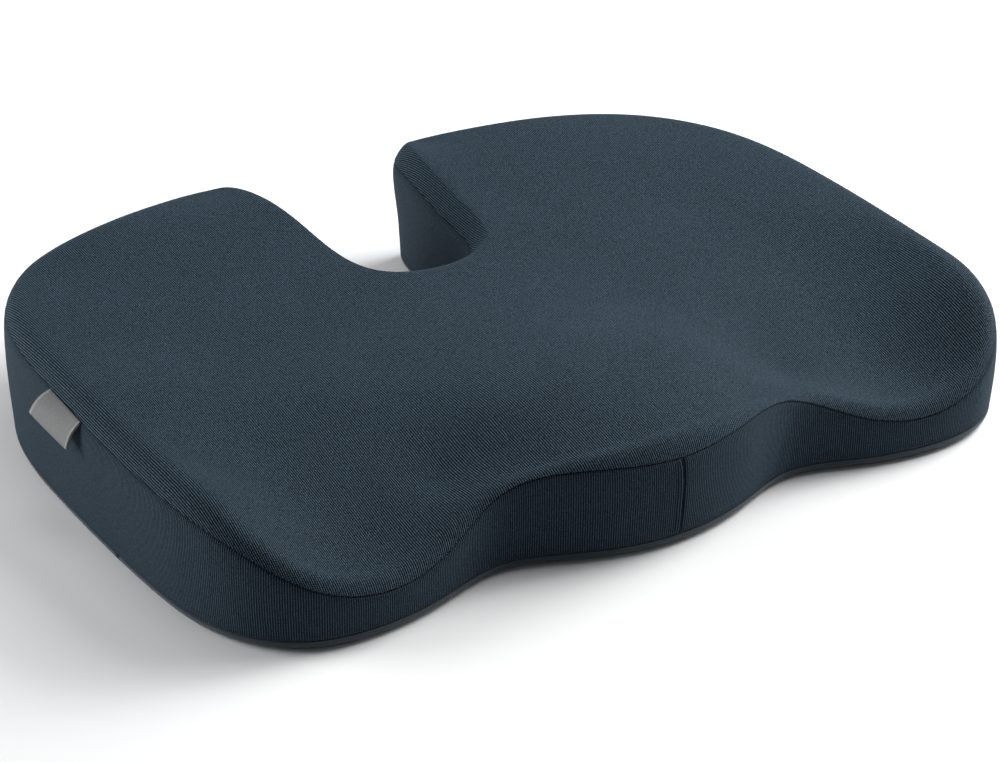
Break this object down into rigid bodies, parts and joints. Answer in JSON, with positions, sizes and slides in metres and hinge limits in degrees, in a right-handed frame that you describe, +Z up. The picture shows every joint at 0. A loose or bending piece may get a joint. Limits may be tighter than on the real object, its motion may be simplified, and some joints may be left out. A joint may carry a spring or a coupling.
{
  "type": "seat cushion",
  "caption": "Contoured memory foam seat cushion in a zipped knit cover, with a tail-bone cut-out at the back, thigh channels at the front and a folded label in the side seam.",
  "frame": {"origin": "on the flat underside, in the middle of the cushion's outline (without the label)", "axes": "+Z up out of the seat, -Y towards the front edge between the thighs, +Y towards the tail-bone cut-out, +X to the right of a person who sits on it"},
  "size_m": [0.4648, 0.3455, 0.0755],
  "materials": {
    "foam": "matte",
    "knit_top": "matte",
    "knit_side": "matte",
    "base_fabric": "matte",
    "base_dots": "satin",
    "zip_tape": "matte",
    "zip_coil": "satin",
    "zip_metal": "satin",
    "thread": "satin",
    "woven_label": "matte"
  },
  "bodies": {
    "cushion": {"foam_core": "foam", "top_panel": "knit_top", "side_band": "knit_side", "base_panel_front": "base_fabric", "base_panel_rear": "base_fabric", "zip_tape_front": "zip_tape", "zip_tape_rear": "zip_tape", "zip_coil_front": "zip_coil", "zip_coil_rear": "zip_coil", "zip_start_stop": "zip_metal", "zip_end_stop": "zip_metal"},
    "slider": {"zip_slider": "zip_metal"},
    "pull_tab": {"zip_pull_tab": "zip_metal"},
    "label": {"side_label": "woven_label"}
  },
  "joints": [
    {"name": "zip_slide", "type": "slide", "parent": "cushion", "child": "slider", "axis": [-1, 0, 0], "range_m": [0, 0.306]},
    {"name": "pull_tab_hinge", "type": "hinge", "parent": "slider", "child": "pull_tab", "pos_m": [0.1513, -0.05, 0.00145], "axis": [0, -1, 0], "range_deg": [0, 170]},
    {"name": "label_hinge", "type": "hinge", "parent": "cushion", "child": "label", "pos_m": [-0.22772, -0.00077, 0.0619], "axis": [0.0327, 0.9982, 0.0509], "range_deg": [-25, 95], "stiffness_Nm_per_rad": 0.0005}
  ]
}
